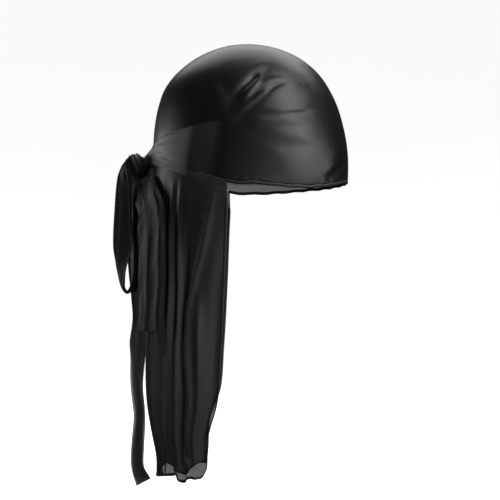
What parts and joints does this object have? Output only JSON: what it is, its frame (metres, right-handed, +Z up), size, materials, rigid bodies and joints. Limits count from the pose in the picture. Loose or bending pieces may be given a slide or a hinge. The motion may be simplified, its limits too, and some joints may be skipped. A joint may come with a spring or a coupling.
{
  "type": "durag",
  "caption": "Close-fitting silky head wrap with a seamed two-panel crown, a long rear cape and side ties knotted at the back in a half bow with two hanging tails.",
  "frame": {"origin": "middle of the head opening, level with the brow edge", "axes": "+X towards the wearer's front, +Y towards the wearer's left, +Z up through the crown"},
  "size_m": [0.2425, 0.1622, 0.4561],
  "materials": {
    "crown_satin": "silky polyester satin, thin and slightly see-through",
    "cape_satin": "silky polyester satin, thin and slightly see-through",
    "tie_satin": "silky polyester satin, pleated",
    "hem_satin": "folded and stitched satin edge"
  },
  "bodies": {
    "root": {"crown_right_panel": "crown_satin", "crown_left_panel": "crown_satin", "centre_seam": "hem_satin", "brow_hem": "hem_satin", "cape": "cape_satin", "cape_hem": "hem_satin", "right_tie_band": "tie_satin", "left_tie_band": "tie_satin", "tie_knot": "tie_satin", "tie_loop": "tie_satin", "short_tail": "tie_satin", "long_tail": "tie_satin"}
  },
  "joints": []
}
